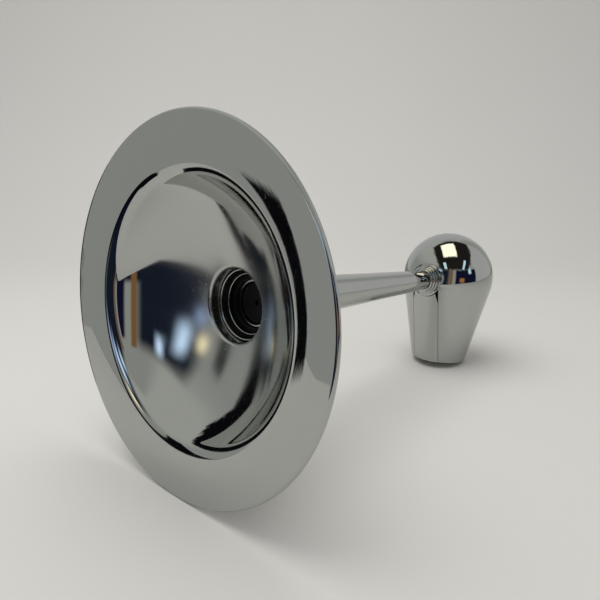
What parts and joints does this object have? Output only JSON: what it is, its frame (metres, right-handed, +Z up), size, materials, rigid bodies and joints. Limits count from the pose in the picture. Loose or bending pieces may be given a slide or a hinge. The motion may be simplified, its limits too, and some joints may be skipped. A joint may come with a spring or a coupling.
{
  "type": "extendable shaving mirror",
  "caption": "Round dished chrome mirror head on a ball joint and a tapered telescopic arm, swivelling on a bulb-shaped base with a flat foot.",
  "frame": {"origin": "centre of the base's flat foot, on the surface it is fixed to", "axes": "+Z up the bulb's axis away from the foot, -Y along the arm towards the mirror head, +X to the right when looking along +Y into the head's open face"},
  "size_m": [0.2, 0.2977, 0.2],
  "materials": {
    "chrome_plate": "mirror-polished chrome plating",
    "steel": "plain turned steel",
    "brass": "plain turned brass",
    "cast_zinc": "matt grey zinc casting",
    "black_nylon": "matt black nylon",
    "white_nylon": "natural white nylon"
  },
  "bodies": {
    "base": {"base_plate": "cast_zinc", "pivot_spindle": "steel", "thrust_washer": "white_nylon", "spring_washer": "steel", "spindle_washer": "steel", "spindle_nut": "steel"},
    "swivel": {"bulb_shell": "chrome_plate", "slot_cover": "chrome_plate", "shell_grub_screw": "steel", "glide_ring": "black_nylon", "anchor_block": "cast_zinc", "rod_grub_screw": "steel", "rod_lock_nut": "steel", "telescopic_rod": "steel", "rod_piston": "white_nylon", "rod_stop_screw": "steel", "spacer_sleeve": "brass", "large_escutcheon": "chrome_plate", "small_escutcheon": "chrome_plate"},
    "arm": {"arm_cone": "chrome_plate", "front_bush": "black_nylon", "guide_liner": "white_nylon", "liner_spacer_front": "black_nylon", "liner_spacer_rear": "black_nylon", "collet_bushing": "brass", "collet_sleeve": "brass"},
    "collar": {"lock_collar": "chrome_plate"},
    "ball": {"swivel_ball": "black_nylon"},
    "head": {"mirror_dish": "chrome_plate", "neck_trim_ring": "chrome_plate", "seat_wire_ring": "chrome_plate", "front_ball_seat": "black_nylon", "rear_ball_seat": "black_nylon", "friction_spring": "steel", "socket_housing": "chrome_plate", "housing_grub_screw": "steel"}
  },
  "joints": [
    {"name": "base_swivel", "type": "hinge", "parent": "base", "child": "swivel", "pos_m": [0, 0, 0.03], "axis": [0, 0, 1], "range_deg": [-90, 90]},
    {"name": "arm_extend", "type": "slide", "parent": "swivel", "child": "arm", "axis": [0, -1, 0], "range_m": [0, 0.12]},
    {"name": "collar_turn", "type": "hinge", "parent": "arm", "child": "collar", "pos_m": [0, -0.0403, 0.066], "axis": [0, 1, 0], "range_deg": [0, 90]},
    {"name": "head_roll", "type": "hinge", "parent": "arm", "child": "ball", "pos_m": [0, -0.2083, 0.066], "axis": [0, 1, 0], "range_deg": [-180, 180]},
    {"name": "head_tilt", "type": "hinge", "parent": "ball", "child": "head", "pos_m": [0, -0.2083, 0.066], "axis": [1, 0, 0], "range_deg": [-14, 14]}
  ]
}
